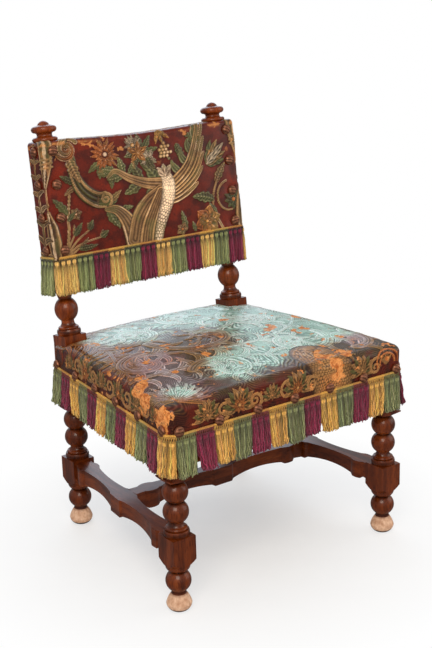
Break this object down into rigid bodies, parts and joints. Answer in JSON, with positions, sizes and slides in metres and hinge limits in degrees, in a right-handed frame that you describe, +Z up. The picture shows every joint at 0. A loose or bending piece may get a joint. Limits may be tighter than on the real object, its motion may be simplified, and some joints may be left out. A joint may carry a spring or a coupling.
{
  "type": "child side chair",
  "caption": "Low child's side chair with ball-turned legs, a shaped H stretcher, nailed embossed leather seat and back, mushroom finials and a tasselled fringe.",
  "frame": {"origin": "on the floor, in the middle of the chair's overall box", "axes": "+Z up; -Y is the way the chair faces; +X is the viewer's right when facing the chair, and the chair is mirror-symmetric across X = 0"},
  "size_m": [0.4334, 0.4118, 0.6336],
  "materials": {
    "walnut": "polished, dark red-brown, worn at the edges",
    "bare_beech": "bare, slightly rough",
    "embossed_leather": "embossed and painted, varnished, worn",
    "plain_leather": "plain, smooth, matt",
    "jute_webbing": "woven jute, natural",
    "hessian": "open woven, natural",
    "stuffing": "hair stuffing, hidden",
    "nail_brass": "dark patina",
    "braid": "woven braid of the fringe colours",
    "green_yarn": "soft wool yarn",
    "purple_yarn": "soft wool yarn",
    "gold_yarn": "soft wool yarn"
  },
  "bodies": {
    "root": {"back_front_heading": "braid", "back_gold_tassels": "gold_yarn", "back_green_tassels": "green_yarn", "back_hessian": "hessian", "back_leather_cover": "embossed_leather", "back_left_edge_nails": "nail_brass", "back_left_face_nails": "nail_brass", "back_left_heading": "braid", "back_low_rail": "walnut", "back_purple_tassels": "purple_yarn", "back_right_edge_nails": "nail_brass", "back_right_face_nails": "nail_brass", "back_right_heading": "braid", "back_stuffing": "stuffing", "back_top_rail": "walnut", "cross_stretcher": "walnut", "front_left_foot": "bare_beech", "front_left_leg": "walnut", "front_right_foot": "bare_beech", "front_right_leg": "walnut", "front_seat_rail": "walnut", "left_finial": "walnut", "left_seat_rail": "walnut", "left_side_stretcher": "walnut", "outside_back_panel": "plain_leather", "outside_panel_tacks": "nail_brass", "rear_left_foot": "bare_beech", "rear_left_post": "walnut", "rear_right_foot": "bare_beech", "rear_right_post": "walnut", "rear_seat_rail": "walnut", "right_finial": "walnut", "right_seat_rail": "walnut", "right_side_stretcher": "walnut", "seat_front_heading": "braid", "seat_front_nails": "nail_brass", "seat_gold_tassels": "gold_yarn", "seat_green_tassels": "green_yarn", "seat_hessian": "hessian", "seat_leather_cover": "embossed_leather", "seat_left_heading": "braid", "seat_left_nails": "nail_brass", "seat_purple_tassels": "purple_yarn", "seat_rear_nails": "nail_brass", "seat_right_heading": "braid", "seat_right_nails": "nail_brass", "seat_stuffing": "stuffing", "webbing_crosswise_1": "jute_webbing", "webbing_crosswise_2": "jute_webbing", "webbing_crosswise_3": "jute_webbing", "webbing_lengthwise_1": "jute_webbing", "webbing_lengthwise_2": "jute_webbing", "webbing_lengthwise_3": "jute_webbing", "webbing_lengthwise_4": "jute_webbing"}
  },
  "joints": []
}
